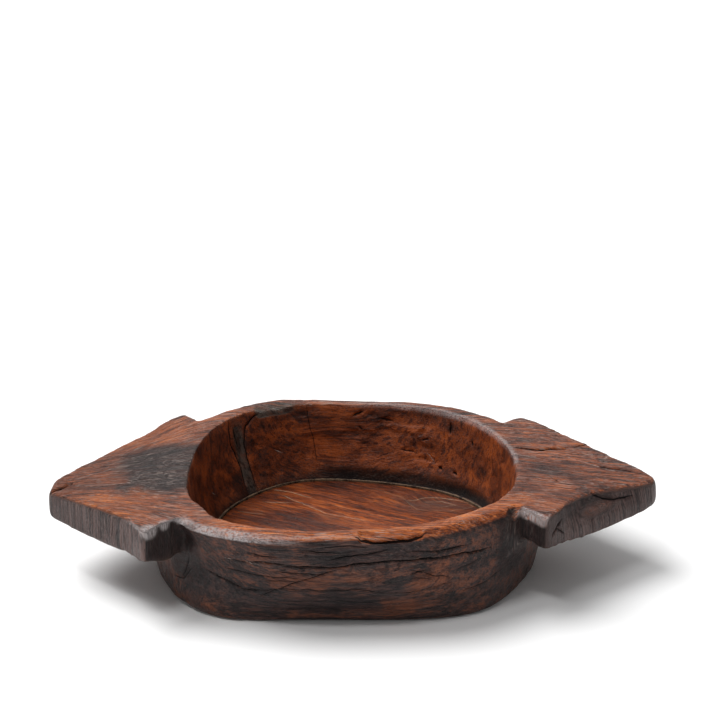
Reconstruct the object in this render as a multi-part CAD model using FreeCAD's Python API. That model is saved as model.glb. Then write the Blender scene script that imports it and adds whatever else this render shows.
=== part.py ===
"""Carved hardwood kneading bowl: a round bowl hollowed out of a long block, with a wing handle at each end.

Frame: millimetres, +X along the grain from handle tip to handle tip, +Y from the front wall to the back
wall, +Z up. The origin is the middle of the bounding box at the height of the surface the bowl stands on.

The block is the bowl's own round hull fused with two flat wings. A V notch parts each wing's ears from
the hull. The floor is a thin board let into the bottom of the hollow and bedded in a bead of filler, and
an old split in the left of the inner wall is stopped with filler too. Nothing on the bowl moves.
"""

import FreeCAD
import Part
import math
import os

V = FreeCAD.Vector
UP = V(0, 0, 1)

# Heights
RIM_Z = 88.0                # top of the rim beside the handles
RIM_DIP = 2.0               # how far the rim wears down in the middle of the long sides
EAR_Z = 85.5                # top of a wing across its ears
TIP_Z = 75.0                # top of a wing at its tip
WING_UNDER = (              # underside of a wing: distance from the middle along X, height
    (110.0, 60.0),
    (150.0, 59.5),
    (170.0, 54.5),
    (190.0, 51.5),
    (230.0, 52.0),
    (270.0, 54.0),
)
FLOOR_Z = 19.0              # top of the floor board
BOARD_THICK = 7.0           # floor board
ABOVE = 12.0                # how far cutting tools run past the rim

# Plan outlines of the round bowl: how far each reaches from the middle, every 22.5 degrees from +X
# through +Y. Being hewn by eye, they are a little square and fuller to the front left.
RIM = (168, 168, 165, 160, 155, 169, 172, 174, 174, 180, 177, 160, 145, 152, 156, 165)
LIP = (166, 166, 163, 158, 153, 167, 170, 172, 172, 176, 172, 155, 140, 147, 151, 161)
WAIST = (163, 162, 161, 154, 149, 160, 167, 170, 171, 170, 164, 152.5, 144.5, 148, 155, 160)
LOW = (157, 154, 153, 146, 141, 148, 157, 163, 169, 168, 162, 133, 124, 133, 151, 153)
OPENING = (137, 139, 145, 146, 144, 151, 153, 142, 137, 146, 155, 143, 132, 133, 137, 140)
FLOOR = (123, 129, 127, 121, 123, 131, 128, 125, 122, 127, 133, 125, 115, 118, 125, 127)
WAIST_Z = 46.0              # height of the WAIST outline
LOW_Z = 12.0                # height of the LOW outline, where the bottom edge has finished turning up
BASE_IN = 6.0               # how far inside LOW the flat base stops
SLOPE = 4.5                 # height of the worn slope on the outer edge of the rim, from RIM up to LIP
WALL_HOLLOW = 3.0           # how far the inner wall bows outwards between the floor and the rim
SEAM_WIDTH = 2.4            # bead of filler between the floor board and the wall
SEAM_PROUD = 0.8            # how far the bead stands above the board

# The wings in plan. Each corner is (x, y, rounding radius); those at x = +-120 lie inside the hull.
WING_LEFT = (
    (-162.0, -135.0, 4.0),
    (-180.0, -104.0, 60.0),
    (-253.5, -36.0, 9.0),
    (-252.5, -11.0, 12.0),
    (-184.0, 79.0, 120.0),
    (-155.0, 128.0, 6.0),
    (-140.0, 104.0, 4.0),
    (-120.0, 60.0, 0.0),
    (-120.0, -60.0, 0.0),
    (-136.0, -99.0, 2.0),
)
WING_RIGHT = (
    (153.0, -113.0, 5.0),
    (197.0, -60.0, 90.0),
    (262.0, -12.0, 12.0),
    (152.0, 119.0, 7.0),
    (136.0, 98.0, 5.0),
    (120.0, 60.0, 0.0),
    (120.0, -60.0, 0.0),
    (130.0, -96.0, 3.0),
)
EAR_X = 158.0               # where a wing's top starts to fall towards the tip
TIP_X = 270.0               # past the tips, so that the slab covers them
HULL_X = 110.0              # where the top is level again, over the hull

# The old split in the inner wall, seen from above: where it opens, how wide and how deep it is
SPLIT_ANGLE = 135.0         # degrees from +X, so at the back left
SPLIT_WIDTH = 5.0
SPLIT_DEPTH = 6.0
SPLIT_TOP = 78.0            # height where the filler ends


def radius_at(outline, degrees):
    """How far an outline reaches in a direction, between the two reaches given on either side of it."""
    step = 360.0 / len(outline)
    place = (degrees % 360.0) / step
    low = int(place)
    share = place - low
    return outline[low] * (1 - share) + outline[(low + 1) % len(outline)] * share


def mixed(low, high, share, grow=0.0):
    """The outline a share of the way from low to high, grown outwards."""
    return tuple(a + (b - a) * share + grow for a, b in zip(low, high))


def grown(outline, by):
    return tuple(reach + by for reach in outline)


def ring(outline, z):
    """The closed smooth curve at height z through an outline's points."""
    points = []
    for i, reach in enumerate(outline):
        a = 2 * math.pi * i / len(outline)
        points.append(V(reach * math.cos(a), reach * math.sin(a), z))
    curve = Part.BSplineCurve()
    curve.interpolate(points, PeriodicFlag=True)
    return Part.Wire([curve.toShape()])


def rounded_outline(corners, z):
    """A closed wire of straight runs, with an arc of the given radius at each corner."""
    count = len(corners)
    starts, ends, arcs = [], [], []
    for i, (x, y, radius) in enumerate(corners):
        here = V(x, y, z)
        before = V(*corners[i - 1][:2], z) - here
        after = V(*corners[(i + 1) % count][:2], z) - here
        before.normalize()
        after.normalize()
        if radius == 0:
            starts.append(here)
            ends.append(here)
            arcs.append(None)
            continue
        half = before.getAngle(after) / 2
        reach = radius / math.tan(half)
        inward = before + after
        inward.normalize()
        middle = here + inward * (radius / math.sin(half) - radius)
        starts.append(here + before * reach)
        ends.append(here + after * reach)
        arcs.append(Part.Arc(starts[-1], middle, ends[-1]))
    edges = []
    for i in range(count):
        if arcs[i] is not None:
            edges.append(arcs[i].toShape())
        edges.append(Part.LineSegment(ends[i], starts[(i + 1) % count]).toShape())
    return Part.Wire(Part.__sortEdges__(edges))


def profile_curve(points):
    """A smooth curve through (x, z) points in the plane y = 0."""
    curve = Part.BSplineCurve()
    curve.interpolate([V(x, 0, z) for x, z in points])
    return curve.toShape()


def extruded_profile(edges, reach):
    """The solid that a closed chain of edges in the XZ plane sweeps from y = -reach to y = +reach."""
    face = Part.Face(Part.Wire(Part.__sortEdges__(edges)))
    face.translate(V(0, -reach, 0))
    return face.extrude(V(0, 2 * reach, 0))


def above_rim():
    """Everything over the top surface: level across the bowl, falling towards both tips."""
    top = [
        (-TIP_X, TIP_Z - 1.0),
        (-EAR_X, EAR_Z),
        (-HULL_X, RIM_Z),
        (0.0, RIM_Z - RIM_DIP),
        (HULL_X, RIM_Z),
        (EAR_X, EAR_Z),
        (TIP_X, TIP_Z - 1.0),
    ]
    high = RIM_Z + 3 * ABOVE
    left, right = V(-TIP_X, 0, top[0][1]), V(TIP_X, 0, top[-1][1])
    edges = [
        profile_curve(top),
        Part.LineSegment(right, V(TIP_X, 0, high)).toShape(),
        Part.LineSegment(V(TIP_X, 0, high), V(-TIP_X, 0, high)).toShape(),
        Part.LineSegment(V(-TIP_X, 0, high), left).toShape(),
    ]
    return extruded_profile(edges, 250.0)


def wing(corners):
    """One wing handle: its outline in plan, cut to the sloping underside."""
    side = 1 if corners[0][0] > 0 else -1
    outline = Part.Face(rounded_outline(corners, 0)).extrude(V(0, 0, RIM_Z + ABOVE))
    under = [(side * x, z) for x, z in WING_UNDER]
    floor_in = V(under[0][0], 0, -ABOVE)
    floor_out = V(under[-1][0], 0, -ABOVE)
    edges = [
        profile_curve(under),
        Part.LineSegment(V(under[-1][0], 0, under[-1][1]), floor_out).toShape(),
        Part.LineSegment(floor_out, floor_in).toShape(),
        Part.LineSegment(floor_in, V(under[0][0], 0, under[0][1])).toShape(),
    ]
    return outline.cut(extruded_profile(edges, 250.0))


def hull():
    """The outside of the round bowl: flat base, turned-up bottom edge, steep wall, sloping rim edge."""
    wall_top = RIM_Z - RIM_DIP - SLOPE
    bottom_edge = [
        ring(grown(LOW, -BASE_IN), 0.0),
        ring(grown(LOW, -BASE_IN / 4), LOW_Z / 3),
        ring(LOW, LOW_Z),
    ]
    wall = [ring(LOW, LOW_Z), ring(WAIST, WAIST_Z), ring(RIM, wall_top)]
    slope = [ring(RIM, wall_top), ring(mixed(RIM, LIP, 2.0), wall_top + 2 * SLOPE)]
    upper = Part.makeLoft(wall, True).fuse(Part.makeLoft(slope, True, True))
    return upper.fuse(Part.makeLoft(bottom_edge, True, True))


def block():
    """The outside of the bowl: hull and wings in one piece, worked to the top surface."""
    whole = hull().fuse([wing(WING_LEFT), wing(WING_RIGHT)])
    return whole.cut(above_rim()).removeSplitter()


def hollow():
    """The inside of the bowl above the floor board, with walls that lean out and bow a little."""
    past = (RIM_Z + ABOVE - FLOOR_Z) / (RIM_Z - FLOOR_Z)
    sections = [
        ring(FLOOR, FLOOR_Z),
        ring(mixed(FLOOR, OPENING, 0.5, WALL_HOLLOW), (FLOOR_Z + RIM_Z) / 2),
        ring(OPENING, RIM_Z),
        ring(mixed(FLOOR, OPENING, past), RIM_Z + ABOVE),
    ]
    return Part.makeLoft(sections, True)


def plate(outline, low, high):
    """A flat plate with the given outline, from height low to height high."""
    return Part.Face(ring(outline, low)).extrude(UP * (high - low))


def split_tool():
    """A thin wedge that opens into the hollow along the old split, leaning with the wall."""
    angle = math.radians(SPLIT_ANGLE)
    outward = V(math.cos(angle), math.sin(angle), 0)
    across = V(-outward.y, outward.x, 0)
    wires = []
    for z in (FLOOR_Z + SEAM_PROUD, SPLIT_TOP):
        share = (z - FLOOR_Z) / (RIM_Z - FLOOR_Z)
        here = mixed(FLOOR, OPENING, share, 4 * WALL_HOLLOW * share * (1 - share))
        surface = outward * radius_at(here, SPLIT_ANGLE) + UP * z
        wide = SPLIT_WIDTH * (0.8 + 0.5 * share)
        inner = surface - outward * SPLIT_DEPTH
        tip = surface + outward * SPLIT_DEPTH
        corners = [inner - across * wide, tip, inner + across * wide]
        wires.append(Part.makePolygon(corners + corners[:1]))
    return Part.makeLoft(wires, True, True)


def build():
    pocket_floor = FLOOR_Z - BOARD_THICK
    inside = grown(FLOOR, -SEAM_WIDTH)
    carved = block().cut(hollow()).cut(plate(FLOOR, pocket_floor, FLOOR_Z))
    split = split_tool()
    body = carved.cut(split)
    bead = plate(FLOOR, pocket_floor, FLOOR_Z + SEAM_PROUD)
    bead = bead.cut(plate(inside, pocket_floor - 1, FLOOR_Z + SEAM_PROUD + 1))
    return {
        "bowl_body": body,
        "floor_board": plate(inside, pocket_floor, FLOOR_Z),
        "floor_seam_filler": bead,
        "wall_split_filler": carved.common(split),
    }


def main():
    parts = build()
    box = Part.makeCompound(list(parts.values())).optimalBoundingBox(False)
    to_middle = V(-box.Center.x, -box.Center.y, -box.ZMin)
    print(f"moved by {to_middle.x:.2f}, {to_middle.y:.2f}, {to_middle.z:.2f}")
    os.makedirs("parts", exist_ok=True)
    for name, shape in parts.items():
        shape.translate(to_middle)
        solids = shape.Solids
        whole = solids[0] if len(solids) == 1 else Part.makeCompound(solids)
        whole.exportStep(f"parts/{name}.step")
        size = whole.optimalBoundingBox(False)
        print(
            f"{name}: {len(solids)} solid(s), valid {whole.isValid()}, {whole.Volume / 1000:.1f} cm3, "
            f"x {size.XMin:.1f}..{size.XMax:.1f} y {size.YMin:.1f}..{size.YMax:.1f} "
            f"z {size.ZMin:.1f}..{size.ZMax:.1f}"
        )


main()
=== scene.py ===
"""Looks for the carved wooden bowl: worn surfaces, splits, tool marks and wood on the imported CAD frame.

Lengths in the shape code are millimetres in the CAD frame, and objects are made in metres. The grain of the
block runs along X. "turn" is degrees round the middle from +X through +Y.
"""

import math

import bmesh
import bpy
import numpy as np
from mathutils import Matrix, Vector


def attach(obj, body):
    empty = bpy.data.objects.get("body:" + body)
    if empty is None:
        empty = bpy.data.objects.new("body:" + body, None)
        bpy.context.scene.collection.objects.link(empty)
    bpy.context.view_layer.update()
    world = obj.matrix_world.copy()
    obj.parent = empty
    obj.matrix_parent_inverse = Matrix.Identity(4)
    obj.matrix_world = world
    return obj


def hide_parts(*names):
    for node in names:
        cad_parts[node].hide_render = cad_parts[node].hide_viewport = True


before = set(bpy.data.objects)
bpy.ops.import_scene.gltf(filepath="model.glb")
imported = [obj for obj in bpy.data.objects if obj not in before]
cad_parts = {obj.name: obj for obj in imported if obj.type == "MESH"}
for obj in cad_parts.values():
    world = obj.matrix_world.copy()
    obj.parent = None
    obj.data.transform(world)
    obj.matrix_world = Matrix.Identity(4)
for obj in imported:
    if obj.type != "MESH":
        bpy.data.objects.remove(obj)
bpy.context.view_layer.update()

MM = 0.001
RIM_Z = 88.0
FLOOR_Z = 19.0
HALF_LENGTH = 254.9                 # the carved mesh stays inside the CAD box
HALF_WIDTH = 153.3
TOP_Z = 88.1
MIDDLE = np.array([-1.6, -5.0])     # where the round outlines are measured from
BOWL_VOXEL = 1.45                   # mesh size of the carved block, the floor and the fillers
FLOOR_VOXEL = 1.3
BEAD_VOXEL = 0.6
SPLIT_VOXEL = 0.7
DEGREE = 2.4                        # length along the inner wall that one degree covers
CAMERA_AT = (-0.00163, -1.37529, 0.65510)
CAMERA_DOWN = 19.15                 # degrees
CAMERA_YAW = -0.25
CAMERA_LENS = 87.5
FLOOR_REACH = 12.0                  # half the width of the studio floor, in metres

# Reach from the middle every 22.5 degrees of turn: the opening at the rim, and the foot of the wall
OPENING = (137, 139, 145, 146, 144, 151, 153, 142, 137, 146, 155, 143, 132, 133, 137, 140)
FOOT = (123, 129, 127, 121, 123, 131, 128, 125, 122, 127, 133, 125, 115, 118, 125, 127)

# Splits, cracks and scratches. Each chart flattens one part of the surface: "front" is (x, z) on the front
# wall, "top" is (x, y), "inside" is (turn, z), "end" is (distance from the front ear along the right end
# face, z). After the chart: channel ("pale" is a dry scratch), half width, depth, how far one lip stands up,
# then the corners of its path.
MARKS = (
    ("front", "cut_a", 0.55, 1.9, 0.8, ((-96, 61), (-72, 64), (-28, 60), (20, 65), (64, 64), (108, 61))),
    ("front", "cut_b", 0.5, 1.4, 0.6, ((-76, 27), (-50, 44), (-30, 52), (-14, 59))),
    ("front", "cut_a", 0.6, 1.8, 0.8, ((-122, 46), (-88, 33), (-56, 38), (0, 38), (44, 32), (76, 39))),
    ("front", "cut_a", 0.4, 1.1, 0.4, ((-44, 75), (-12, 72))),
    ("front", "cut_b", 0.4, 1.1, 0.4, ((-22, 67), (-2, 70), (24, 74))),
    ("front", "cut_b", 0.4, 1.0, 0.4, ((-84, 71), (-58, 69))),
    ("front", "cut_b", 0.4, 1.1, 0.5, ((40, 72), (62, 70), (88, 70))),
    ("front", "cut_a", 0.35, 0.8, 0.3, ((-30, 77), (-4, 79), (10, 77))),
    ("front", "cut_a", 0.35, 0.8, 0.3, ((-64, 56), (-40, 55), (-22, 53))),
    ("front", "cut_a", 0.3, 0.7, 0.2, ((-70, 46), (-44, 47))),
    ("front", "cut_b", 0.35, 0.8, 0.2, ((-104, 51), (-70, 50), (-40, 50))),
    ("front", "cut_b", 0.4, 1.0, 0.3, ((42, 57), (56, 49), (74, 44))),
    ("front", "cut_b", 0.4, 1.0, 0.3, ((44, 47), (60, 44))),
    ("front", "cut_a", 0.3, 0.8, 0.2, ((42, 52), (54, 53))),
    ("front", "cut_b", 0.35, 0.8, 0.2, ((-130, 40), (-137, 26), (-150, 22))),
    ("front", "cut_b", 0.35, 0.8, 0.2, ((-131, 54), (-135, 38), (-139, 26))),
    ("front", "cut_b", 0.3, 0.6, 0.2, ((-66, 22), (-20, 25), (20, 22))),
    ("front", "cut_a", 0.3, 0.6, 0.2, ((84, 27), (104, 31), (116, 36))),
    ("front", "cut_b", 0.3, 0.6, 0.2, ((80, 50), (98, 54))),
    ("front", "pale", 0.35, 0.4, 0.3, ((-104, 62), (-92, 62), (-74, 61))),
    ("front", "cut_a", 0.9, 2.6, 0.8, ((0, 84.5), (20, 82.5), (40, 83), (55, 85.5))),
    ("top", "cut_a", 2.2, 4.5, 0.0, ((-258, -44), (-247, -35), (-236, -26))),
    ("top", "cut_a", 0.6, 1.4, 0.5, ((137, 31), (148, 29), (158, 28))),
    ("top", "cut_b", 1.6, 3.4, 0.6, ((155, 28), (165, 30), (176, 35), (186, 38))),
    ("top", "pale", 0.6, 0.7, 0.5, ((180, 19), (203, 4), (222, -6))),
    ("top", "cut_a", 0.45, 1.0, 0.0, ((163, -28), (170, -40))),
    ("top", "cut_b", 0.4, 0.8, 0.5, ((190, 41), (204, 49), (214, 50))),
    ("top", "cut_a", 0.4, 0.7, 0.3, ((203, 2), (228, -2), (244, -8))),
    ("top", "pale", 0.4, 0.3, 0.3, ((-238, -22), (-205, -4), (-176, 6))),
    ("top", "pale", 0.4, 0.3, 0.3, ((-236, -33), (-204, -37), (-168, -36))),
    ("top", "pale", 0.35, 0.3, 0.2, ((-212, 4), (-186, 20), (-168, 26))),
    ("top", "pale", 0.3, 0.2, 0.2, ((140, -14), (158, -18), (176, -18))),
    ("top", "pale", 0.3, 0.2, 0.2, ((136, 14), (160, 8))),
    ("end", "cut_a", 0.6, 1.5, 0.0, ((39, 84), (41, 79), (50, 75), (61, 71), (80, 70))),
    ("end", "cut_a", 0.6, 1.5, 0.0, ((-8, 76), (-17, 71), (-26, 66))),
    ("end", "cut_b", 0.45, 1.2, 0.0, ((-16, 72), (-7, 64))),
    ("inside", "cut_a", 0.9, 1.8, 0.6, ((138, 85), (138.5, 66), (136.5, 45), (137, 22))),
    ("inside", "cut_b", 0.7, 1.6, 0.4, ((124, 86), (130, 76), (132.4, 62), (132, 40), (131.5, 22))),
    ("inside", "cut_a", 0.24, 0.5, 0.0, ((107, 86), (106.4, 70), (105, 56), (104, 34))),
    ("inside", "cut_b", 0.6, 1.2, 0.0, ((80, 74), (75, 72))),
    ("inside", "cut_b", 0.6, 1.1, 0.0, ((71, 48), (65, 47))),
    ("inside", "cut_a", 0.9, 1.8, 0.0, ((52, 80), (51.5, 69))),
    ("inside", "cut_a", 0.7, 1.3, 0.0, ((41, 70), (40, 65))),
    ("inside", "cut_a", 1.2, 1.8, 0.0, ((54.5, 37.5), (52.5, 36.5))),
    ("inside", "cut_a", 1.1, 1.6, 0.0, ((47.5, 36.5), (45.5, 35.5))),
    ("inside", "cut_b", 0.9, 1.4, 0.0, ((90, 75), (86, 80))),
    ("inside", "cut_b", 0.6, 1.1, 0.0, ((88, 66), (86, 63))),
    ("inside", "cut_b", 0.6, 1.0, 0.0, ((63, 59), (60, 61))),
    ("inside", "pale", 0.5, 0.6, 0.0, ((60, 48), (57, 42))),
    ("inside", "pale", 0.4, 0.5, 0.0, ((120, 49), (117, 45))),
    ("inside", "pale", 0.5, 0.5, 0.0, ((159, 40), (157, 36))),
)
FLOOR_MARKS = (
    ("top", "cut_a", 0.4, 0.4, 0.2, ((-80, 99), (-58, 90), (-36, 76))),
    ("top", "cut_a", 0.4, 0.4, 0.2, ((-67, 84), (-48, 67), (-24, 43), (10, 28))),
    ("top", "cut_b", 0.4, 0.4, 0.2, ((-84, 69), (-56, 67))),
    ("top", "cut_b", 0.4, 0.4, 0.2, ((-104, 49), (-82, 42))),
    ("top", "cut_a", 0.4, 0.4, 0.2,
     ((46, 70), (70, 79), (96, 71), (107, 58), (85, 48), (56, 51), (46, 70))),
    ("top", "cut_b", 0.3, 0.3, 0.1, ((60, 67), (78, 69), (90, 61), (76, 56), (60, 60))),
)


# ---------------------------------------------------------------- numbers and noise

def ramp(low, high, value):
    """0 below low, 1 above high, and a smooth step between them."""
    t = np.clip((value - low) / (high - low), 0.0, 1.0)
    return t * t * (3 - 2 * t)


def noise(points, seed):
    """Smooth noise from -1 to 1 at each row of points, with one lattice cell to a unit."""
    cell = np.floor(points).astype(np.int64)
    part = points - cell
    part = part * part * part * (part * (part * 6 - 15) + 10)
    total = np.zeros(len(points))
    for corner in range(8):
        step = np.array([corner & 1, corner >> 1 & 1, corner >> 2 & 1])
        n = cell + step
        mixed = (n[:, 0] * 73856093) ^ (n[:, 1] * 19349663) ^ (n[:, 2] * 83492791) ^ (seed * 2654435761)
        mixed &= 0xFFFFFFFF
        mixed = ((mixed ^ (mixed >> 13)) * 1274126177) & 0xFFFFFFFF
        mixed ^= mixed >> 16
        weight = np.prod(np.where(step, part, 1 - part), axis=1)
        total += weight * (mixed / 0x7FFFFFFF - 1)
    return total


def fractal(points, seed, layers=3):
    """Noise with finer, weaker layers added."""
    total = 0.0
    for i in range(layers):
        total = total + noise(points * 2 ** i, seed + i) / 2 ** i
    return total / 1.5


def reach(outline, x, y):
    """How far an outline reaches in the direction of each point."""
    turn = (np.arctan2(y - MIDDLE[1], x - MIDDLE[0]) / (2 * np.pi)) % 1.0 * len(outline)
    return np.interp(turn, np.arange(len(outline) + 1), outline + outline[:1])


def turn_of(x, y):
    """Degrees round the middle, from +X through +Y."""
    return np.degrees(np.arctan2(y - MIDDLE[1], x - MIDDLE[0])) % 360


def span(low, high, value, soft_low, soft_high):
    """1 between low and high, fading in over soft_low before low and out over soft_high after high."""
    return ramp(low - soft_low, low, value) * ramp(high + soft_high, high, value)


def box_mask(a, b, low, high, soft):
    """1 where (a, b) is inside the box from low to high, fading to 0 over the width soft."""
    return (ramp(low[0] - soft, low[0] + soft, a) * (1 - ramp(high[0] - soft, high[0] + soft, a))
            * ramp(low[1] - soft, low[1] + soft, b) * (1 - ramp(high[1] - soft, high[1] + soft, b)))


# ---------------------------------------------------------------- meshes

def fine_copy(node, name, voxel):
    """A new piece with the CAD node's shape on an even mesh, ready to be carved."""
    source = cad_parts[node]
    piece = bpy.data.objects.new(name, source.data.copy())
    bpy.context.scene.collection.objects.link(piece)
    even = piece.modifiers.new("even", "REMESH")
    even.mode = "VOXEL"
    even.voxel_size = voxel * MM
    graph = bpy.context.evaluated_depsgraph_get()
    mesh = bpy.data.meshes.new_from_object(piece.evaluated_get(graph))
    piece.modifiers.clear()
    piece.data = mesh
    mesh.name = name
    mesh.polygons.foreach_set("use_smooth", np.ones(len(mesh.polygons), bool))
    return piece


def points_of(mesh):
    co = np.zeros(len(mesh.vertices) * 3, np.float32)
    mesh.vertices.foreach_get("co", co)
    return co.reshape(-1, 3).astype(float) / MM


def put_points(mesh, points):
    mesh.vertices.foreach_set("co", (points * MM).astype(np.float32).ravel())
    mesh.update()


def normals_of(mesh):
    normals = np.zeros(len(mesh.vertices) * 3, np.float32)
    mesh.vertex_normals.foreach_get("vector", normals)
    return normals.reshape(-1, 3).astype(float)


def edges_of(mesh):
    edges = np.zeros(len(mesh.edges) * 2, np.int32)
    mesh.edges.foreach_get("vertices", edges)
    return edges.reshape(-1, 2)


def averaged(values, edges, passes, share=0.5):
    """Values (one row per vertex) blended with their neighbours'. share may differ between vertices."""
    count = len(values)
    ends = np.concatenate([edges[:, 0], edges[:, 1]])
    others = np.concatenate([edges[:, 1], edges[:, 0]])
    neighbours = np.maximum(np.bincount(ends, minlength=count), 1)
    columns = values.reshape(count, -1).copy()
    share = np.broadcast_to(np.asarray(share, float), (count,))
    for _ in range(passes):
        for k in range(columns.shape[1]):
            mean = np.bincount(ends, columns[others, k], count) / neighbours
            columns[:, k] += share * (mean - columns[:, k])
    return columns.reshape(values.shape)


def attribute(mesh, name, values):
    kind = "FLOAT_VECTOR" if values.ndim == 2 else "FLOAT"
    data = mesh.attributes.new(name, kind, "POINT").data
    data.foreach_set("vector" if values.ndim == 2 else "value", values.astype(np.float32).ravel())


def refined(mesh, mask):
    """Splits the mesh finer where mask is set, so that narrow cracks have faces of their own."""
    grid = bmesh.new()
    grid.from_mesh(mesh)
    grid.verts.ensure_lookup_table()
    picked = [e for e in grid.edges if mask[e.verts[0].index] and mask[e.verts[1].index]]
    bmesh.ops.subdivide_edges(grid, edges=picked, cuts=1, use_grid_fill=True)
    grid.to_mesh(mesh)
    grid.free()
    mesh.polygons.foreach_set("use_smooth", np.ones(len(mesh.polygons), bool))
    mesh.update()


# ---------------------------------------------------------------- where things are on the bowl

# Outside of the rim, measured like OPENING, and the four notches in plan
RIM = (168, 168, 165, 160, 155, 169, 172, 174, 174, 180, 177, 160, 145, 152, 156, 165)
NOTCHES = ((-134, -104), (-142, 99), (134, 93), (132, -101))

# Bottom edge of the right end face, from the front ear to the tip, and how far the worn face leans in at
# the top
EAR = np.array([173.4, -92.0])
ALONG = np.array([0.731, 0.683])
INWARD = np.array([-0.683, 0.731])
LEAN_AT = (-33, -11, 10, 31, 51, 75, 93, 108)
LEAN = (0.0, 2.4, 8.5, 12.4, 12.2, 8.5, 4.6, 2.0)

# Worn round: places (x, y) and how far the wear reaches
SOFTENED = (((-252, -28), 12), ((251, -12), 18), ((-160, -136), 4), ((151, -116), 7),
            ((-157, 121), 12), ((151, 112), 12))

# How the front notches differ from the CAD's: place (x, y), shift along X, how far the wing's underside
# drops beside it, and the height where the shift starts
NOTCH_WEAR = (((-138, -104), 6.0, 10.0, 56), ((128, -101), 6.0, 3.0, 36))

# The CAD's right end face at the same places along it: how far it lies inside the straight line
FACE_AT = (-33, 0, 22, 32, 50, 93, 108)
FACE = (-1.5, -0.5, 3.4, 5.0, 4.2, 0.0, -3.0)

# The knot torn out of the front wall and its flaked skin (x, z), and the chip out of the front lip (x, y)
TORN = ((44, 28), (72, 56))
FLAKED = ((-60, 58), (70, 80))
CHIP = ((3, -156), (52, -139.5))

# Grain of the floor board: degrees from the block's, and the loop in its figure (middle, half sizes)
FLOOR_TURN = -27
LOOP = ((74, 64), (34, 16))

# Handle tops polished by hands: low and high (x, y), how strongly, and the softness of the border
POLISHED = (((-226, -112), (-162, -58), 0.75, 12), ((-205, 42), (-150, 100), 0.5, 14))

# Sooty top beside the left of the hollow, as middle and half sizes
SOOT = ((-158, -12), (52, 62))

# Patches on the front wall where the dark skin has worn off, and the smooth dark ones: low and high (x, z)
WORN = (((-68, 38), (-18, 57)), ((18, 8), (48, 28)), ((50, 38), (76, 62)), ((-10, 46), (30, 56)),
        ((-146, 6), (-110, 14)))
SMOOTH_DARK = (((14, 28), (44, 48)), ((-110, 14), (20, 32)), ((-40, 62), (60, 82)),
               ((-136, 20), (-104, 46)))

# Rubbed places on edges, painted pale as a highlight: middle (x, y, z) and how far they reach
RUB_HIGHLIGHTS = ((-160, -133, 83, 10), (-150, -121, 83, 6))

# Rubbed facet between the right front notch and the ear, painted white as a highlight: its ends, and the way
# it faces
FACET = (np.array([135.0, -104.0, 86.0]), np.array([148.0, -113.0, 85.0]),
         np.array([-0.416, -0.563, 0.714]))


def along_end(x, y):
    """Distance from the front ear along the right end face."""
    return (x - EAR[0]) * ALONG[0] + (y - EAR[1]) * ALONG[1]


def behind_end(x, y):
    """Distance inward from the line that the right end face follows."""
    return (x - EAR[0]) * INWARD[0] + (y - EAR[1]) * INWARD[1]


def masks(p, n):
    """Soft masks from 0 to 1 for the parts of the bowl."""
    x, y, z = p.T
    away = np.hypot(x - MIDDLE[0], y - MIDDLE[1])
    up = np.clip((z - FLOOR_Z) / (RIM_Z - FLOOR_Z), 0, 1)
    wall = reach(FOOT, x, y) * (1 - up) + reach(OPENING, x, y) * up + 3 * np.sin(np.pi * up)
    past_rim = away - reach(RIM, x, y)
    level = np.abs(n[:, 2])
    inside = ramp(7, 3, away - wall) * ramp(0.85, 0.45, n[:, 2]) * ramp(17, 19, z)
    top = ramp(0.5, 0.8, n[:, 2]) * ramp(60, 68, z)
    end = ramp(1, 6, past_rim) * ramp(0.72, 0.45, level) * ramp(46, 52, z)
    outer = np.clip(1 - inside - top - end, 0, 1)
    notch = 0.0
    for at_x, at_y in NOTCHES:
        far = np.hypot(x - at_x, y - at_y)
        flank = ramp(62, 50, far) * ramp(0.15, -0.25, n[:, 0] * np.sign(x)) * ramp(-4, 2, past_rim)
        notch = np.maximum(notch, np.maximum(flank, ramp(30, 14, far)))
    notch = notch * ramp(0.85, 0.55, level) * ramp(18, 40, z) * (1 - inside)
    return {"inside": inside, "top": top, "end": end, "outer": outer, "notch": notch, "away": away,
            "wall": wall, "past_rim": past_rim}


def charts_of(p, n, zone):
    """The flat charts that MARKS uses: two coordinates and where the chart holds."""
    x, y, z = p.T
    facing = n[:, 0] * INWARD[0] + n[:, 1] * INWARD[1]
    return {
        "front": (x, z, (n[:, 1] < -0.25) & (zone["past_rim"] < 4) & (z < 86) & (zone["inside"] < 0.2)),
        "top": (x, y, (n[:, 2] > 0.35)),
        "inside": (turn_of(x, y) * DEGREE, z, zone["inside"] > 0.3),
        "end": (along_end(x, y), z, (x > 140) & (facing < -0.3)),
    }


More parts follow.
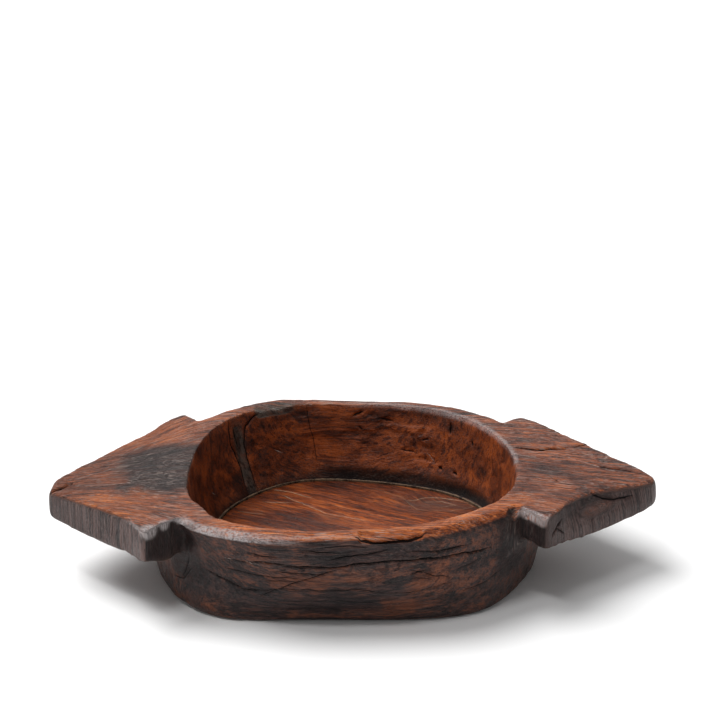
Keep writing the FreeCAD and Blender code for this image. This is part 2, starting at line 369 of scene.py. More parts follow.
def marked(charts, marks, p):
    """For each channel, the signed distance to the nearest mark and its half width. Also how far marks move
    the surface along its normal."""
    count = len(p)
    wobble = fractal(p / 9.0, 71, 2) * 1.1
    cuts = {name: np.tile((6.0, 0.0, 0.0), (count, 1)) for name in ("cut_a", "cut_b", "pale")}
    move = np.zeros(count)
    for chart, channel, half, depth, lip, corners in marks:
        a, b, holds = charts[chart]
        path = np.array(corners, float)
        if chart == "inside":
            path[:, 0] *= DEGREE
        low, high = path.min(axis=0) - 9, path.max(axis=0) + 9
        near = np.flatnonzero(holds & (a > low[0]) & (a < high[0]) & (b > low[1]) & (b < high[1]))
        if not len(near):
            continue
        here = np.stack([a[near], b[near]], axis=1)
        steps = np.diff(path, axis=0)
        lengths = np.hypot(*steps.T)
        starts = np.concatenate([[0], np.cumsum(lengths)])
        best = np.full(len(near), 99.0)
        side = np.ones(len(near))
        travelled = np.zeros(len(near))
        for i, step in enumerate(steps):
            from_start = here - path[i]
            share = np.clip(from_start @ step / lengths[i] ** 2, 0, 1)
            off = from_start - share[:, None] * step
            distance = np.hypot(*off.T)
            closer = distance < best
            best = np.where(closer, distance, best)
            cross = step[0] * from_start[:, 1] - step[1] * from_start[:, 0]
            side = np.where(closer, np.sign(cross), side)
            travelled = np.where(closer, starts[i] + share * lengths[i], travelled)
        signed = side * best + wobble[near]
        from_end = np.minimum(travelled, starts[-1] - travelled)
        taper = np.clip(from_end / min(9.0, starts[-1] * 0.3) + 0.15, 0, 1) * (best < 7)
        fade = ramp(5.0, 2.5, np.abs(signed))
        cut = cuts[channel]
        win = near[np.abs(signed) < np.abs(cut[near, 0])]
        pick = np.abs(signed) < np.abs(cut[near, 0])
        cut[win, 0] = signed[pick]
        cut[win, 1] = (half * taper * fade)[pick]
        move[near] -= depth * taper * np.exp(-(signed / (0.7 + half * 0.6)) ** 2)
        move[near] += lip * taper * ramp(-0.8, 0.8, signed) * np.exp(-(signed / 6.0) ** 2)
    return cuts, move


# ---------------------------------------------------------------- carving the body

def worn_shape(p, edges):
    """The big worn shapes: rounded tips and ears, the leaning right end face and the scooped wings."""
    x, y, z = p.T
    p = averaged(p, edges, 7)
    soft = 0.0
    for at, size in SOFTENED:
        soft = np.maximum(soft, ramp(size + 8, size * 0.4, np.hypot(x - at[0], y - at[1])))
    left_edge = ramp(14, 2, np.abs((x + 253) * 0.66 + (y + 36) * 0.75)) * ramp(64, 74, z) * (x < -165)
    right_top = ramp(-2, 6, along_end(x, y)) * ramp(60, 70, z) * ramp(26, 12, behind_end(x, y)) * (x > 150)
    p = averaged(p, edges, 22, 0.5 * np.clip(soft + 0.5 * left_edge + 0.5 * right_top, 0, 1))
    p[:, 0] += 3.0 * ramp(215, 250, p[:, 0])
    for (at_x, at_y), shift_x, drop, above in NOTCH_WEAR:
        far = np.hypot(p[:, 0] - at_x, p[:, 1] - at_y)
        p[:, 0] += shift_x * ramp(28, 6, far) * ramp(above, above + 16, p[:, 2])
        p[:, 2] -= drop * ramp(42, 14, far) * ramp(68, 60, p[:, 2]) * ramp(42, 54, p[:, 2])
    x, y, z = p.T
    along = along_end(x, y)
    inward = behind_end(x, y)
    lean = np.interp(along, LEAN_AT, LEAN)
    now = np.interp(along, FACE_AT, FACE)
    wanted = lean * (0.9 * ramp(58, 82, z) + 0.1 * ramp(50, 60, z))
    shift = (wanted - now) * ramp(30, 2, inward - now) * ramp(150, 162, x) * ramp(44, 50, z)
    p[:, 0] += shift * INWARD[0]
    p[:, 1] += shift * INWARD[1]
    return cut_facet(p)


def from_facet(p):
    """Distance from the line between the facet's ends."""
    start, stop, _ = FACET
    run = stop - start
    share = np.clip((p - start) @ run / (run @ run), 0, 1)
    return np.linalg.norm(p - start - share[:, None] * run, axis=1)


def cut_facet(p):
    """Presses what stands outside the rubbed facet onto its plane."""
    start, _, facing = FACET
    far = from_facet(p)
    outside = (p - start) @ facing + 2.7
    press = np.maximum(outside, 0) * ramp(15, 10, far) * ramp(66, 72, p[:, 2])
    return p - press[:, None] * facing


def carve_bowl():
    """The block: worn, split, textured and coloured. Its mesh is made finer along the cracks first."""
    piece = fine_copy("bowl_body", "carved_bowl", BOWL_VOXEL)
    mesh = piece.data
    p = worn_shape(points_of(mesh), edges_of(mesh))
    put_points(mesh, p)
    n = normals_of(mesh)
    zone = masks(p, n)
    cuts, _ = marked(charts_of(p, n, zone), MARKS, p)
    refined(mesh, sum(cut[:, 1] for cut in cuts.values()) > 0)

    p = points_of(mesh)
    edges = edges_of(mesh)
    n = averaged(normals_of(mesh), edges, 2)
    n /= np.linalg.norm(n, axis=1)[:, None]
    zone = masks(p, n)
    zone["turn"] = turn_of(p[:, 0], p[:, 1])
    cuts, move = marked(charts_of(p, n, zone), MARKS, p)
    grain = grain_of(p, zone)
    lumps = fractal(p / 34.0, 21)
    dints = fractal(p / 12.0, 31, 2)
    move += tool_marks(p, n, edges, zone, grain, lumps, dints)
    flat = rim_flat(p, zone)
    x, y, z = p.T
    chip = box_mask(x + 2 * dints, y, *CHIP, 1.6) * ramp(79, 82, z)
    carved = p + n * move[:, None]
    carved[:, 2] -= chip * 2.4 * (1 + 0.4 * dints) + 3.2 * flat
    convex, hollow = relief(carved, n, edges)
    limits = ((-HALF_LENGTH, HALF_LENGTH), (-HALF_WIDTH, HALF_WIDTH), (0, TOP_Z))
    for axis, (low, high) in enumerate(limits):
        carved[:, axis] = np.clip(carved[:, axis], low, high)
    put_points(mesh, carved)

    mesh.materials.clear()
    mesh.materials.append(carved_wood())
    attribute(mesh, "grain", grain)
    wear(mesh, p, carved, n, zone, dints, flat, convex, hollow)
    for name, cut in cuts.items():
        attribute(mesh, name, cut)
    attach(piece, "root")
    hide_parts("bowl_body")


def rim_flat(p, zone):
    """The flat greenish place worn into the back left of the rim."""
    return (span(117, 123, zone["turn"], 9, 4) * ramp(11, 2, zone["away"] - zone["wall"])
            * ramp(78, 84, p[:, 2]))


def tool_marks(p, n, edges, zone, grain, lumps, dints):
    """How far the surface moves along its normal: hewn lumps, layers of the wood, chipped edges, the torn
    knot and the undercut at the foot of the back wall."""
    x, _, z = p.T
    inside, top, end, outer = (zone[k] for k in ("inside", "top", "end", "outer"))
    rows = noise(grain / np.array([60.0, 5.0, 5.0]), 11)
    threads = noise(grain / np.array([30.0, 2.6, 2.6]), 15)
    base = ramp(3, 1, z)
    past = ramp(0, 8, zone["past_rim"])
    still = np.clip(end + past * (1 - top), 0, 1)
    move = (1 - base) * (1 - 0.8 * still) * (0.7 * lumps + 0.22 * dints)
    move += outer * (1 - base) * (1 - 0.85 * past) * (0.38 * rows + 0.18 * threads)
    move += top * (0.30 * rows + 0.24 * threads)
    move += end * (0.05 * rows + 0.1 * threads) * ramp(52, 60, z)
    move += inside * (0.35 * fractal(p / 16.0, 41, 2) + 0.12 * rows)

    sharp, _ = relief(p, n, edges)
    chips = sharp * (1 - base) * (ramp(0.15, 0.5, noise(p / 6.5, 43)) + ramp(0.3, 0.5, noise(p / 15.0, 47)))
    move -= 0.7 * chips
    move -= inside * 0.5 * ramp(0.25, 0.7, noise(p / np.array([9.0, 9.0, 26.0]), 51))

    front = n[:, 1] < -0.3
    torn = box_mask(x + 4 * lumps, z + 4 * dints, *TORN, 5) * front
    move -= torn * (0.7 + 0.8 * ramp(-0.3, 0.5, noise(p / np.array([9.0, 6.0, 3.5]), 61)))
    flaked = box_mask(x, z, *FLAKED, 9) * front
    move -= flaked * 0.9 * ramp(0.05, 0.16, fractal(p / np.array([26.0, 9.0, 6.0]), 65, 2))
    undercut = inside * ramp(31, 21, z) * span(40, 84, zone["turn"], 22, 28)
    return move - 3.4 * undercut


def wear(mesh, p, carved, n, zone, dints, flat, convex, hollow):
    """Keeps on the mesh where the wood is sooty, worn, dark, rubbed, green or polished, and where light and
    shade are
    painted: a pale highlight on the rubbed places, shade on the inner back-left wall with the soot, and a
    near-black band of shade round the foot of the inner wall. p is the surface before it was carved, and
    carved the one after."""
    x, y, z = p.T
    turn, past_rim = zone["turn"], zone["past_rim"]
    inside, top, end, outer = (zone[k] for k in ("inside", "top", "end", "outer"))
    blur = 9 * fractal(carved / 16.0, 81, 3)
    on_facet = ramp(9, 6, from_facet(carved)) * ramp(0.35, 0.6, n @ FACET[2]) * ramp(0.97, 0.9, n[:, 2])

    soot_from = np.hypot((x - SOOT[0][0] + blur) / SOOT[1][0], (y - SOOT[0][1] + blur) / SOOT[1][1])
    soot_and_shade = top * ramp(1.25, 0.45, soot_from) + np.clip(zone["notch"], 0, 1)
    # Painted shade: the inner back-left wall darkened with the soot colour
    soot_and_shade = np.maximum(soot_and_shade, 0.55 * inside * span(122, 150, turn, 22, 22) * ramp(0.1, -0.4, dints))
    bevel = ramp(150, 165, x) * end * ramp(66, 74, z) * ramp(74, 56, along_end(x, y))
    soot_and_shade = np.maximum(soot_and_shade, 0.62 * bevel) * (1 - on_facet)

    front = (n[:, 1] < -0.15) * outer
    worn = np.zeros(len(p))
    for low, high in WORN:
        worn = np.maximum(worn, box_mask(x + blur, z + 0.6 * blur, low, high, 5))
    dark = np.zeros(len(p))
    for low, high in SMOOTH_DARK:
        dark = np.maximum(dark, box_mask(x + blur, z + 0.5 * blur, low, high, 6))

    # Painted highlight: pale colour on the rubbed front rim chamfer, the left ear corner, the facet and the
    # right inner rim edge; the wear there is real
    sloping = ramp(0.93, 0.75, n[:, 2]) * ramp(0.1, 0.3, n[:, 2])
    chamfer = ramp(78, 81, z) * sloping * ramp(-14, -8, past_rim)
    bright = span(216, 240, turn, 8, 18) * ramp(-11, -8, past_rim + 0.3 * blur)
    dull = span(252, 268, turn, 12, 16) * ramp(83, 85.5, z)
    rub_and_highlight = np.maximum(0.9 * chamfer * bright, 0.5 * chamfer * dull)
    for at_x, at_y, at_z, size in RUB_HIGHLIGHTS:
        far = np.sqrt((x - at_x) ** 2 + (y - at_y) ** 2 + (z - at_z) ** 2)
        rub_and_highlight = np.maximum(rub_and_highlight, ramp(size, size * 0.45, far) * ramp(74, 79, z))
    rub_and_highlight = np.maximum(rub_and_highlight, on_facet)
    from_lip = np.abs(zone["away"] - zone["wall"] - 1.5 + 0.15 * blur)
    inner_edge = ramp(3.4, 1.2, from_lip) * ramp(82, 85, z) * ramp(80, 60, np.abs(turn - 20))
    rub_and_highlight = np.maximum(rub_and_highlight, 0.5 * inner_edge)

    green = ramp(0.05, 0.5, flat)
    green = np.maximum(green, inside * ramp(3.2, 1.2, np.abs(turn - 134.5)) * ramp(88, 70, z))
    polish = span(-22, -2, past_rim, 8, 6) * span(236, 322, turn, 14, 16)
    for low, high, share, soft in POLISHED:
        polish = np.maximum(polish, share * box_mask(x + blur, y + blur, low, high, soft))
    # Painted shade: a near-black band round the foot of the inner wall, deepest at the back right under the
    # undercut
    right = span(26, 92, turn, 18, 26)
    foot_shade = inside * ramp(29 + 7 * right + 3 * dints, 21 + 2 * right, z) * (0.55 + 0.45 * right)

    outer = np.clip(outer, 0, 1) * (1 - on_facet)
    attribute(mesh, "part", np.stack([inside, outer, end * (1 - on_facet)], axis=1))
    attribute(mesh, "skin", np.stack([np.clip(soot_and_shade, 0, 1), front * worn, front * dark], axis=1))
    attribute(mesh, "edge", np.stack([convex, hollow, np.clip(rub_and_highlight, 0, 1)], axis=1))
    attribute(mesh, "extra", np.stack([np.clip(green, 0, 1), top * polish, foot_shade], axis=1))


def grain_of(p, zone):
    """Coordinates that follow the wood: along the log, across the layers, and up. The lines run together
    towards the left tip, and each drifts a little."""
    x, y, z = p.T
    drift = 7 * fractal(p / np.array([120.0, 40.0, 40.0]), 91, 2)
    drift += 1.6 * noise(p / np.array([30.0, 12.0, 12.0]), 95)
    drift = drift * (1 - 0.8 * zone["end"])
    narrow = 1 + 1.2 * ramp(-120, -262, x)
    across = -28 + (y + 28) * narrow + drift + 0.05 * (x - 120) * (x > 120)
    across += (0.9 * along_end(x, y) - across) * zone["end"] * ramp(140, 160, x) * (y < 20)
    lift = z * (1 - 0.85 * zone["end"]) + 0.6 * drift
    return np.stack([x, across, lift], axis=1)


def relief(p, n, edges):
    """How far each vertex stands out of, or lies in, the surface averaged round it, from 0 to 1."""
    out = np.einsum("ij,ij->i", p - averaged(p, edges, 9), n)
    out = averaged(out, edges, 1)
    return ramp(0.15, 1.1, out), ramp(0.15, 0.9, -out)


def carve_floor():
    """The board: scratched, with its own grain and a loop in its figure."""
    piece = fine_copy("floor_board", "floor_plank", FLOOR_VOXEL)
    mesh = piece.data
    p = averaged(points_of(mesh), edges_of(mesh), 2)
    put_points(mesh, p)
    n = normals_of(mesh)
    chart = {"top": (p[:, 0], p[:, 1], n[:, 2] > 0.6)}
    cuts, _ = marked(chart, FLOOR_MARKS, p)
    refined(mesh, sum(cut[:, 1] for cut in cuts.values()) > 0)
    p = points_of(mesh)
    n = normals_of(mesh)
    x, y, z = p.T
    chart = {"top": (x, y, n[:, 2] > 0.6)}
    cuts, move = marked(chart, FLOOR_MARKS, p)
    top = ramp(0.5, 0.9, n[:, 2])
    turn = math.radians(FLOOR_TURN)
    loop = np.exp(-(((x - LOOP[0][0]) / LOOP[1][0]) ** 2 + ((y - LOOP[0][1]) / LOOP[1][1]) ** 2))
    drift = 9 * fractal(p / 70.0, 191, 2) + 13 * loop
    along = x * math.cos(turn) + y * math.sin(turn)
    across = y * math.cos(turn) - x * math.sin(turn) + drift
    grain = np.stack([along, across, z], axis=1)
    rows = noise(grain / np.array([50.0, 3.6, 30.0]), 111)
    move += top * (0.22 * rows - 0.25 + 0.25 * fractal(p / 30.0, 121, 2))
    p = p + n * np.minimum(move, 0.3)[:, None]
    put_points(mesh, p)
    mesh.materials.clear()
    mesh.materials.append(floor_wood())
    attribute(mesh, "grain", grain)
    attribute(mesh, "loop", loop)
    for name, cut in cuts.items():
        attribute(mesh, name, cut)
    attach(piece, "root")
    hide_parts("floor_board")


def worn_filler(node, name, material, voxel, rough, sink, shrink):
    """A filler piece with a broken surface, sunk where it has gone and shrunk away from the wood."""
    piece = fine_copy(node, name, voxel)
    mesh = piece.data
    p = averaged(points_of(mesh), edges_of(mesh), 2)
    put_points(mesh, p)
    n = normals_of(mesh)
    move = rough * fractal(p / 3.0, 131, 2) - sink * ramp(0.15, 0.55, noise(p / 13.0, 141))
    move = np.minimum(move, 0.25) - shrink * ramp(0.8, 0.3, n[:, 2])
    put_points(mesh, p + n * move[:, None])
    mesh.materials.clear()
    mesh.materials.append(material)
    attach(piece, "root")
    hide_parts(node)


# ---------------------------------------------------------------- materials

def linear(red, green, blue):
    """A colour given as 0-255 screen values, as the shader wants it."""
    out = []
    for value in (red, green, blue):
        v = value / 255
        out.append(v / 12.92 if v <= 0.04045 else ((v + 0.055) / 1.055) ** 2.4)
    return (*out, 1.0)


class Surface:
    """A node material, with short names for the nodes that every surface here uses."""

    def __init__(self, name):
        self.material = bpy.data.materials.new(name)
        self.material.use_nodes = True
        self.tree = self.material.node_tree
        self.shader = self.tree.nodes["Principled BSDF"]

    def node(self, kind, **settings):
        made = self.tree.nodes.new("ShaderNode" + kind)
        for key, value in settings.items():
            setattr(made, key, value)
        return made

    def put(self, value, socket):
        if isinstance(value, bpy.types.NodeSocket):
            self.tree.links.new(value, socket)
        else:
            socket.default_value = value

    def vector(self, name):
        return self.node("Attribute", attribute_name=name).outputs["Vector"]

    def parts(self, name):
        split = self.node("SeparateXYZ")
        self.put(self.vector(name), split.inputs[0])
        return split.outputs[0], split.outputs[1], split.outputs[2]

    def noise(self, at, size, detail=3.0, rough=0.55, twist=0.0):
        """Noise with features of the given size (x, y, z) in millimetres."""
        sized = self.node("VectorMath", operation="DIVIDE")
        self.put(at, sized.inputs[0])
        sized.inputs[1].default_value = size
        made = self.node("TexNoise")
        self.put(sized.outputs[0], made.inputs["Vector"])
        made.inputs["Scale"].default_value = 1.0
        made.inputs["Detail"].default_value = detail
        made.inputs["Roughness"].default_value = rough
        made.inputs["Distortion"].default_value = twist
        return made.outputs[0]

    def math(self, operation, a, b=0.0, c=0.0):
        made = self.node("Math", operation=operation)
        for value, socket in zip((a, b, c), made.inputs):
            self.put(value, socket)
        return made.outputs[0]

    def add(self, a, b):
        return self.math("ADD", a, b)

    def times(self, a, b):
        return self.math("MULTIPLY", a, b)

    def step(self, value, low, high, to_low=0.0, to_high=1.0):
        """to_low where value is low, to_high where it is high, and a smooth step between."""
        made = self.node("MapRange", interpolation_type="SMOOTHSTEP")
        for socket, number in zip(made.inputs, (value, low, high, to_low, to_high)):
            self.put(number, socket)
        return made.outputs[0]

    def colours(self, value, stops):
        made = self.node("ValToRGB")
        band = made.color_ramp
        while len(band.elements) < len(stops):
            band.elements.new(0.5)
        for element, (at, colour) in zip(band.elements, stops):
            element.position = at
            element.color = colour
        self.put(value, made.inputs[0])
        return made.outputs[0]

    def mix(self, share, a, b, blend="MIX"):
        made = self.node("Mix", data_type="RGBA", blend_type=blend)
        self.put(share, made.inputs[0])
        self.put(a, made.inputs[6])
        self.put(b, made.inputs[7])
        return made.outputs[2]

    def crack(self, channel, rough):
        """1 inside a crack, from the signed distance and half width kept on the mesh."""
        side, half, _ = self.parts(channel)
        ragged = self.times(half, self.add(0.45, rough))
        away = self.math("ABSOLUTE", side)
        return self.times(self.step(away, self.times(ragged, 0.5), self.add(ragged, 0.08), 1.0, 0.0),
                          self.step(half, 0.02, 0.12))

    def finish(self, colour, roughness, height, depth):
        bump = self.node("Bump")
        bump.inputs["Strength"].default_value = 1.0
        bump.inputs["Distance"].default_value = depth * MM
        self.put(height, bump.inputs["Height"])
        self.put(bump.outputs[0], self.shader.inputs["Normal"])
        self.put(colour, self.shader.inputs["Base Color"])
        self.put(roughness, self.shader.inputs["Roughness"])
        return self.material


def carved_wood():
    s = Surface("carved_hardwood")
    s.shader.inputs["Specular IOR Level"].default_value = 0.24
    grain = s.vector("grain")
    inside, outer, end = s.parts("part")
    soot_and_shade, worn, dark = s.parts("skin")
    convex, hollow, rub_and_highlight = s.parts("edge")
    green, polish, foot_shade = s.parts("extra")

    streak = s.noise(grain, (60, 2.6, 5), 5, 0.62, 0.4)
    fibre = s.noise(grain, (13, 0.7, 0.9), 4, 0.65)
    blotch = s.noise(grain, (48, 24, 20), 3, 0.55, 0.6)
    lines = s.noise(grain, (150, 1.7, 5.0), 3, 0.5, 0.2)
    speck = s.noise(grain, (1.8, 0.9, 1.1), 3, 0.7)
    dashes = s.noise(grain, (13, 0.6, 0.7), 2, 0.5)
    patch = s.noise(grain, (26, 9, 11), 4, 0.6, 0.8)

    tone = s.add(s.add(s.times(streak, 0.40), s.times(fibre, 0.38)), s.times(blotch, 0.22))
    tone = s.step(tone, 0.40, 0.60)
    top_colour = s.colours(tone, ((0.0, linear(38, 17, 12)), (0.35, linear(88, 42, 25)),
                                  (0.7, linear(136, 70, 38)), (1.0, linear(172, 98, 58))))
    inner_tone = s.add(s.add(s.times(blotch, 0.35), s.times(patch, 0.25)), s.add(s.times(fibre, 0.25),
                                                                                 s.times(speck, 0.15)))
    inner_colour = s.colours(s.step(inner_tone, 0.36, 0.62),
                             ((0.0, linear(50, 24, 15)), (0.45, linear(112, 52, 22)),
                              (1.0, linear(172, 86, 34))))
    outer_colour = s.colours(tone, ((0.0, linear(27, 18, 18)), (0.5, linear(58, 39, 36)),
                                    (1.0, linear(108, 64, 46))))
    stripes = s.noise(grain, (400, 1.2, 50), 5, 0.75)
    end_colour = s.colours(s.step(s.add(s.times(stripes, 0.7), s.times(fibre, 0.3)), 0.36, 0.62),
                           ((0.0, linear(26, 18, 16)), (0.35, linear(62, 46, 44)),
                            (1.0, linear(102, 80, 75))))
    shaded = s.mix(1.0, inner_colour, linear(205, 190, 180), "MULTIPLY")
    inner_colour = s.mix(s.times(inside, 0.35), inner_colour, shaded)
    colour = s.mix(inside, top_colour, inner_colour)
    colour = s.mix(outer, colour, outer_colour)
    colour = s.mix(end, colour, end_colour)

    # Rims and handles polished by hands, dark skin, and orange wood where it has worn through
    polished = s.colours(tone, ((0.0, linear(98, 42, 14)), (0.5, linear(176, 88, 32)),
                                (1.0, linear(214, 124, 58))))
    colour = s.mix(s.times(polish, 0.75), colour, polished)
    patchy = s.times(s.step(s.add(worn, s.times(s.add(patch, -0.5), 2.2)), 0.3, 1.0), worn)
    colour = s.mix(s.times(patchy, 0.8), colour,
                   s.colours(tone, ((0.0, linear(64, 34, 25)), (1.0, linear(122, 70, 46)))))
    skin = s.colours(tone, ((0.0, linear(22, 17, 18)), (1.0, linear(48, 39, 41))))
    colour = s.mix(s.times(dark, 0.75), colour, skin)
    # Soot on the handle top, and painted shade on the inner back-left wall; the notch flanks and the sloping
    # top of the right end face are darkened the same way
    soot_and_shade_share = s.times(s.step(s.add(soot_and_shade, s.times(s.add(streak, -0.5), 1.1)), 0.2, 0.85), 0.95)
    colour = s.mix(soot_and_shade_share, colour, s.colours(tone, ((0.0, linear(14, 7, 7)), (1.0, linear(42, 23, 22)))))
    colour = s.mix(s.times(green, s.step(patch, 0.34, 0.54, 0.45, 0.85)), colour, linear(72, 70, 64))

    # Late-wood lines, dirt in the hollows, painted shade round the foot of the inner wall, light worn edges
    line = s.step(lines, 0.54, 0.61, 0.0, 0.75)
    colour = s.mix(line, colour, s.mix(1.0, colour, linear(128, 100, 92), "MULTIPLY"))
    colour = s.mix(s.times(hollow, 0.8), colour, linear(16, 11, 10))
    # Painted shade round the foot of the inner wall
    colour = s.mix(s.times(foot_shade, 0.97), colour, linear(5, 3, 3))
    edge_wear = s.times(convex, s.step(s.add(speck, s.times(s.add(blotch, -0.5), 0.8)), 0.38, 0.6))
    colour = s.mix(s.times(edge_wear, 0.42), colour, linear(150, 112, 88))
    # Painted highlight: the rubbed places pale grey-white, in broken patches
    rub_highlight_patches = s.times(s.step(speck, 0.38, 0.54, 0.3, 1.0), s.step(patch, 0.32, 0.52, 0.5, 1.0))
    colour = s.mix(s.times(rub_and_highlight, rub_highlight_patches), colour, linear(172, 163, 162))

    # Pale dry scratches along the grain, partly painted glints on the level tops, pores, then the cracks
    level = s.math("SUBTRACT", 1.0, s.math("MAXIMUM", inside, s.math("MAXIMUM", outer, end)))
    # Pale dashes on level surfaces: dry scratches, and painted glints
    scratch_and_glint = s.times(s.step(dashes, 0.56, 0.61), s.step(blotch, 0.30, 0.52))
    scratch_and_glint = s.times(scratch_and_glint, s.add(s.times(level, s.add(0.46, s.times(soot_and_shade, 0.16))), 0.06))
    dry = s.times(s.crack("pale", speck), s.step(dashes, 0.40, 0.54, 0.1, 0.7))
    scratch_and_glint = s.math("MAXIMUM", scratch_and_glint, dry)
    colour = s.mix(scratch_and_glint, colour, linear(186, 168, 158))
    pore = s.times(s.step(s.noise(grain, (5, 0.5, 0.6), 2, 0.5), 0.38, 0.31), 0.8)
    colour = s.mix(pore, colour, linear(14, 8, 7))
    crack = s.math("MAXIMUM", s.crack("cut_a", speck), s.crack("cut_b", speck))
    colour = s.mix(s.times(crack, 0.95), colour, linear(9, 6, 6))

    rough = s.step(s.add(s.times(streak, 0.4), s.times(speck, 0.6)), 0.38, 0.62, 0.24, 0.58)
    rough = s.add(rough, s.times(soot_and_shade, 0.04))
    rough = s.math("SUBTRACT", rough, s.times(rub_and_highlight, 0.2))
    rough = s.math("MAXIMUM", rough, s.times(s.math("MAXIMUM", crack, foot_shade), 0.85))

    height = s.add(s.times(fibre, 0.8), s.add(s.times(speck, 0.7), s.times(streak, 0.9)))
    height = s.math("SUBTRACT", height, s.times(pore, 0.5))
    height = s.math("SUBTRACT", height, s.times(crack, 1.6))
    height = s.add(height, s.times(scratch_and_glint, 0.5))
    height = s.times(height, s.math("SUBTRACT", 1.0, s.times(s.math("MAXIMUM", inside, outer), 0.35)))
    return s.finish(colour, rough, height, 1.0)


def floor_wood():
    s = Surface("floor_hardwood")
    s.shader.inputs["Specular IOR Level"].default_value = 0.22
    grain = s.vector("grain")
    loop = s.node("Attribute", attribute_name="loop").outputs["Fac"]
    streak = s.noise(grain, (34, 1.7, 12), 5, 0.66, 0.6)
    wide = s.noise(grain, (60, 17, 30), 4, 0.6, 1.0)
    fibre = s.noise(grain, (9, 0.6, 1.0), 4, 0.65)
    speck = s.noise(grain, (3.0, 1.0, 1.3), 3, 0.65)
    tone = s.add(s.add(s.times(streak, 0.34), s.times(fibre, 0.40)), s.times(wide, 0.26))
    tone = s.step(tone, 0.39, 0.61)
    colour = s.colours(tone, ((0.0, linear(32, 12, 5)), (0.4, linear(92, 38, 12)),
                              (0.75, linear(140, 64, 18)), (1.0, linear(176, 90, 28))))
    broad = s.step(s.noise(grain, (120, 46, 60), 2, 0.5), 0.38, 0.62)
    shade = s.colours(broad, ((0.0, linear(200, 192, 186)), (1.0, linear(255, 255, 255))))
    colour = s.mix(1.0, colour, shade, "MULTIPLY")
    lines = s.noise(grain, (200, 2.6, 8), 2, 0.5, 0.4)
    pale = s.times(s.step(s.math("ABSOLUTE", s.add(lines, -0.5)), 0.012, 0.004), s.step(wide, 0.48, 0.6))
    colour = s.mix(s.times(pale, 0.35), colour, linear(150, 116, 84))
    colour = s.mix(s.times(loop, 0.6), colour, linear(80, 56, 48))
    pore = s.times(s.step(s.noise(grain, (6, 0.5, 0.6), 2, 0.5), 0.34, 0.27), 0.8)
    colour = s.mix(pore, colour, linear(22, 11, 8))
    crack = s.math("MAXIMUM", s.crack("cut_a", speck), s.crack("cut_b", speck))
    broken = s.times(s.step(speck, 0.36, 0.56, 0.35, 0.85), s.step(streak, 0.4, 0.55, 0.45, 1.0))
    colour = s.mix(s.times(crack, broken), colour, linear(160, 132, 104))
    rough = s.step(s.add(s.times(streak, 0.5), s.times(speck, 0.5)), 0.35, 0.65, 0.34, 0.54)
    height = s.add(s.times(fibre, 0.5), s.add(s.times(speck, 0.3), s.times(streak, 0.8)))
    height = s.math("SUBTRACT", height, s.times(pore, 0.5))
    return s.finish(colour, rough, height, 0.7)


def old_filler(name, light, deep, rough_low, rough_high, patch_size):
    """Crumbly filler: two tones in patches, dirt in its pits, and a broken surface."""
    s = Surface(name)
    s.shader.inputs["Specular IOR Level"].default_value = 0.35
    at = s.node("TexCoord").outputs["Object"]
    patch = s.noise(at, patch_size, 3, 0.6)
    grit = s.noise(at, (0.0012, 0.0012, 0.0016), 3, 0.6)
    tone = s.step(s.add(s.times(patch, 0.65), s.times(grit, 0.35)), 0.38, 0.62)
    colour = s.colours(tone, ((0.0, deep), (0.55, light), (1.0, light)))
    colour = s.mix(s.step(grit, 0.40, 0.32, 0.0, 0.7), colour, linear(30, 22, 17))
    rough = s.step(grit, 0.3, 0.7, rough_low, rough_high)
    return s.finish(colour, rough, s.add(grit, s.times(patch, 0.5)), 0.4)


def studio_floor():
    """Plain matt white paper."""
    s = Surface("studio_floor")
    s.shader.inputs["Specular IOR Level"].default_value = 0.0
    s.shader.inputs["Roughness"].default_value = 1.0
    s.shader.inputs["Base Color"].default_value = (0.9, 0.9, 0.9, 1)
    return s.material


# ---------------------------------------------------------------- stage, light, camera

def stage():
    mesh = bpy.data.meshes.new("studio_floor")
    r = FLOOR_REACH
    mesh.from_pydata([(-r, -r, 0), (r, -r, 0), (r, r, 0), (-r, r, 0)], [], [(0, 1, 2, 3)])
    floor = bpy.data.objects.new("studio_floor", mesh)
    bpy.context.scene.collection.objects.link(floor)
    mesh.materials.append(studio_floor())


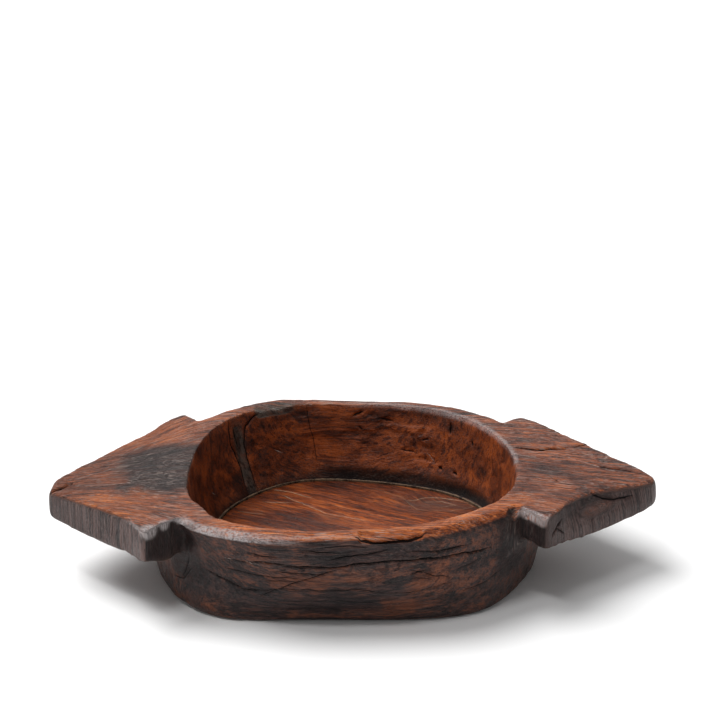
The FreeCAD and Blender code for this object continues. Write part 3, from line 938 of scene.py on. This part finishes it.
def lamp(name, kind, at, towards, power, **settings):
    data = bpy.data.lights.new(name, kind)
    data.energy = power
    for key, value in settings.items():
        setattr(data, key, value)
    light = bpy.data.objects.new(name, data)
    light.location = at
    light.rotation_euler = (Vector(towards) - Vector(at)).to_track_quat("-Z", "Y").to_euler()
    bpy.context.scene.collection.objects.link(light)
    return light


def softbox(name, at, power, wide, high):
    light = lamp(name, "AREA", at, (0, 0, 0.05), power, size=wide, size_y=high, shape="RECTANGLE")
    light.visible_camera = False


def lights():
    """White surroundings, a broad soft key from the upper left and behind, a large softbox behind and a
    strip light above the front."""
    world = bpy.data.worlds.new("studio")
    bpy.context.scene.world = world
    world.use_nodes = True
    sky = world.node_tree.nodes["Background"]
    sky.inputs["Color"].default_value = (1, 1, 1, 1)
    sky.inputs["Strength"].default_value = 0.32
    lamp("key", "SUN", (-0.86, 0.46, 1.68), (0, 0, 0), 3.35, angle=math.radians(43))
    softbox("back", (-0.3, 2.6, 1.5), 17, 2.2, 1.1)
    softbox("above", (-0.35, -0.75, 1.6), 6, 0.6, 0.14)


def camera():
    data = bpy.data.cameras.new("camera")
    data.lens = CAMERA_LENS
    data.sensor_width = 36
    data.clip_start, data.clip_end = 0.05, 60
    cam = bpy.data.objects.new("camera", data)
    cam.location = CAMERA_AT
    cam.rotation_euler = (math.radians(90 - CAMERA_DOWN), 0, math.radians(CAMERA_YAW))
    bpy.context.scene.collection.objects.link(cam)
    bpy.context.scene.camera = cam


carve_bowl()
carve_floor()
pale_filler = old_filler("pale_filler", linear(112, 90, 70), linear(30, 18, 13), 0.45, 0.7,
                         (0.009, 0.009, 0.009))
grey_filler = old_filler("grey_filler", linear(58, 42, 34), linear(18, 11, 9), 0.3, 0.6,
                         (0.0024, 0.0024, 0.012))
worn_filler("floor_seam_filler", "seam_bead", pale_filler, BEAD_VOXEL, 0.25, 0.9, 0.55)
worn_filler("wall_split_filler", "split_filler", grey_filler, SPLIT_VOXEL, 0.5, 0.8, 0.2)
stage()
lights()
camera()
bpy.context.scene.view_settings.view_transform = "Standard"
